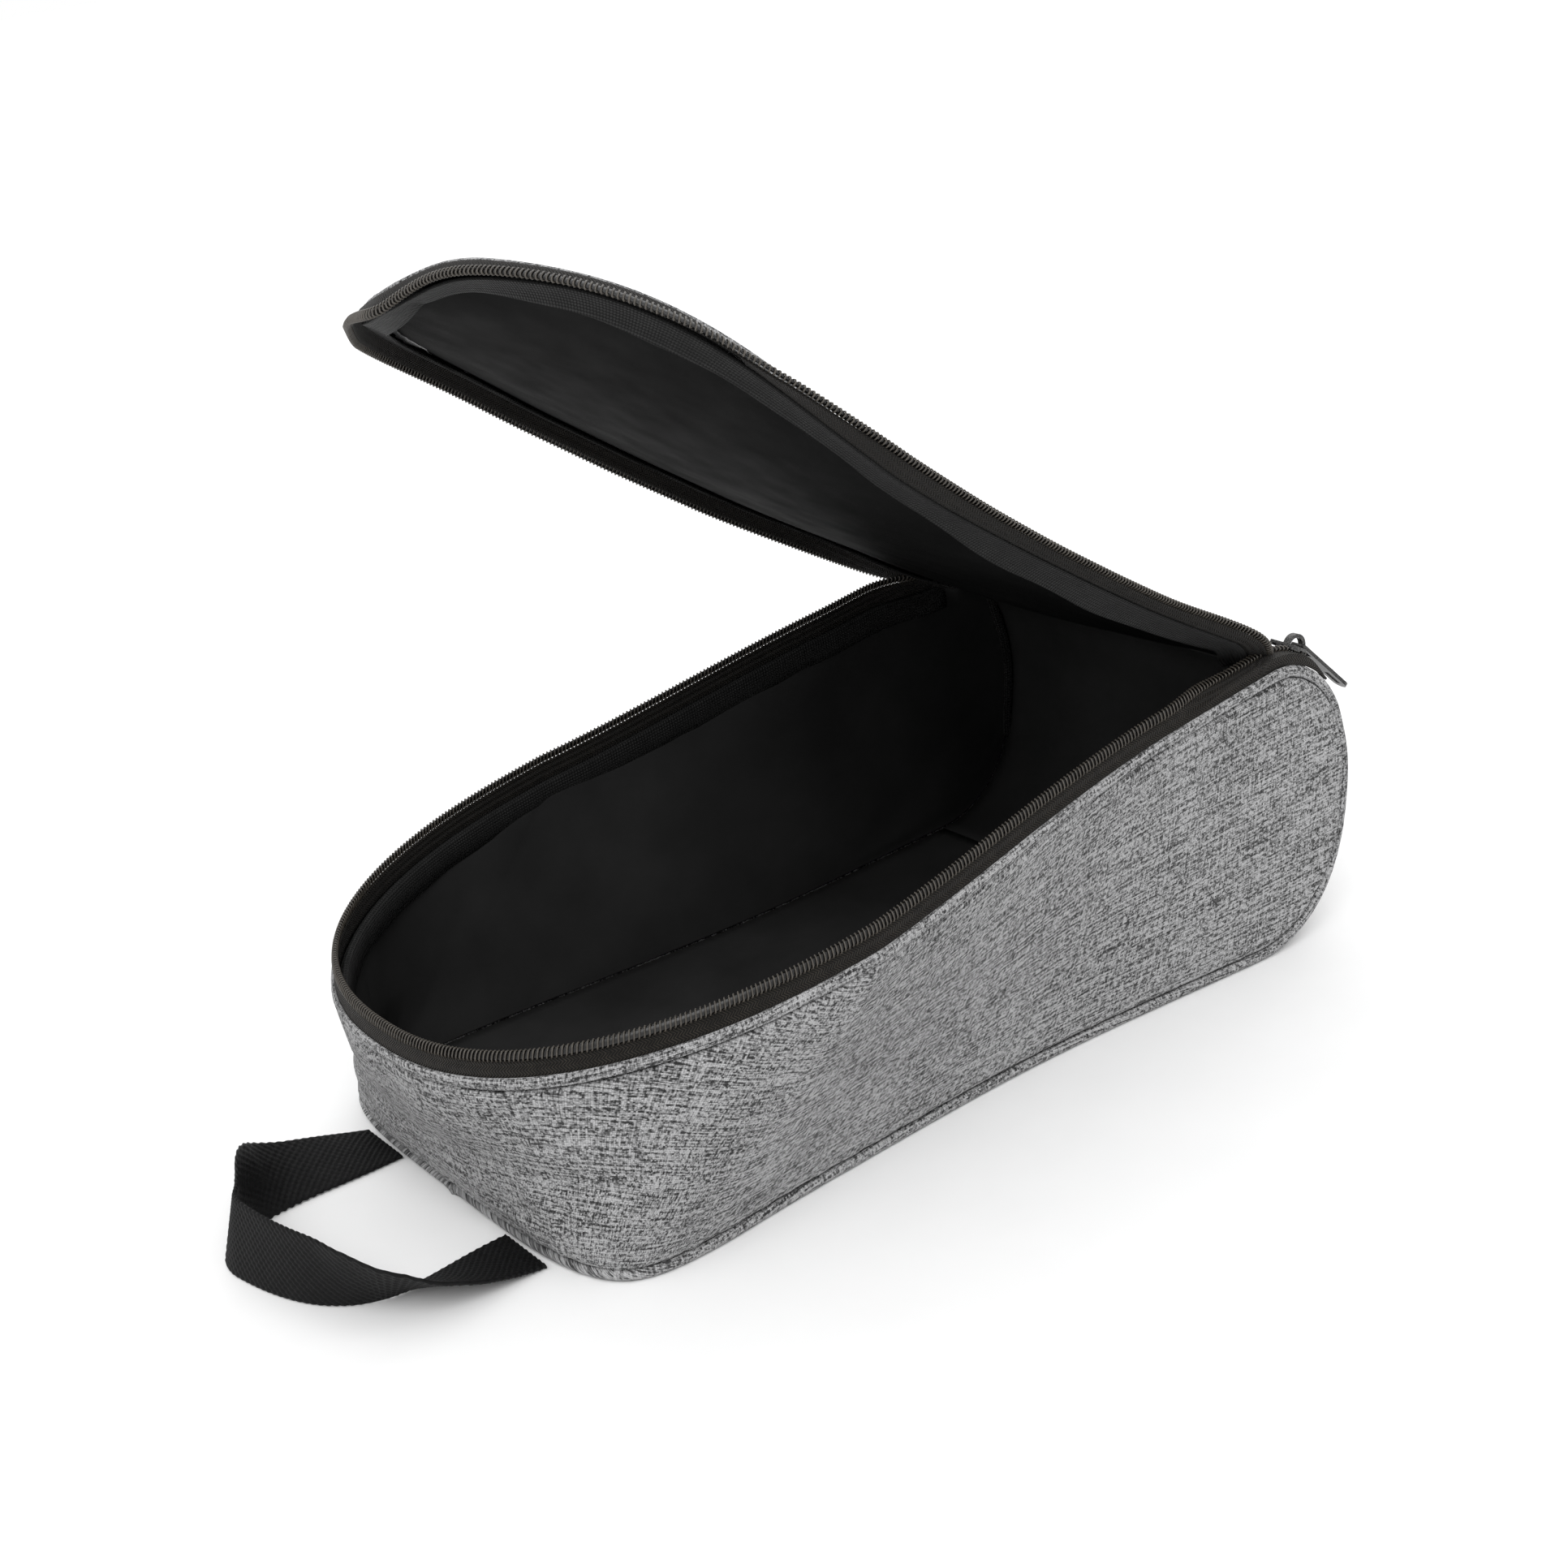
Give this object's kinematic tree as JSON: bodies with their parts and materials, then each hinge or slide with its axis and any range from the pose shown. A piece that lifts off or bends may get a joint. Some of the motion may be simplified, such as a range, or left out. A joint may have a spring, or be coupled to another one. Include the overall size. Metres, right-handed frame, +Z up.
{
  "type": "golf shoe bag",
  "caption": "Padded fabric shoe bag with a tall heel, low rounded toe, hinged zip lid standing open, side zipper slider and a webbing handle loop at the toe.",
  "frame": {"origin": "on the floor, under the middle of the bottom panel", "axes": "+X from the toe to the heel, +Z up, -Y is the side where the slider is parked"},
  "size_m": [0.3929, 0.2048, 0.2811],
  "materials": {
    "heather_cloth": "melange woven polyester, matt",
    "foam": "closed-cell foam, matt",
    "board": "matt sheet",
    "lining": "smooth woven lining, soft sheen",
    "binding": "ribbed binding tape, matt",
    "zipper_tape": "herringbone woven tape",
    "zipper_coil": "nylon coil, slight sheen",
    "slider_metal": "black lacquered metal, semi-gloss",
    "webbing": "plain woven webbing, matt"
  },
  "bodies": {
    "bag": {"bottom_shell": "heather_cloth", "heel_shell": "heather_cloth", "wall_shell": "heather_cloth", "rim_band": "heather_cloth", "bottom_board": "board", "wall_foam": "foam", "heel_foam": "foam", "bottom_lining": "lining", "wall_lining": "lining", "heel_lining": "lining", "rim_binding": "binding", "heel_binding_near": "binding", "heel_binding_far": "binding", "zipper_tape_lower": "zipper_tape", "zipper_coil_lower": "zipper_coil", "zipper_tack_near": "zipper_tape", "zipper_tack_far": "zipper_tape", "hinge_fold": "heather_cloth"},
    "lid": {"lid_shell": "heather_cloth", "lid_foam": "foam", "lid_lining": "lining", "lid_band": "heather_cloth", "lid_binding": "binding", "zipper_tape_upper": "zipper_tape", "zipper_coil_upper": "zipper_coil"},
    "slider": {"slider_body": "slider_metal", "slider_crown": "slider_metal"},
    "puller": {"puller": "slider_metal"},
    "handle": {"handle_webbing": "webbing"}
  },
  "joints": [
    {"name": "lid_fold", "type": "hinge", "parent": "bag", "child": "lid", "pos_m": [0.112, 0, 0.1194], "axis": [-0.1045, 0.9945, 0], "range_deg": [-41, 90]},
    {"name": "zipper_run", "type": "hinge", "parent": "bag", "child": "slider", "pos_m": [0.131, -0.07935, 0.07782], "axis": [0, -1, 0], "range_deg": [0, 30]},
    {"name": "puller_pivot", "type": "hinge", "parent": "slider", "child": "puller", "pos_m": [0.14988, -0.07935, 0.10214], "axis": [0, -1, 0], "range_deg": [0, 108]},
    {"name": "handle_swing", "type": "hinge", "parent": "bag", "child": "handle", "pos_m": [-0.1564, 0, 0.00085], "axis": [0, 1, 0], "range_deg": [0, 45]}
  ]
}
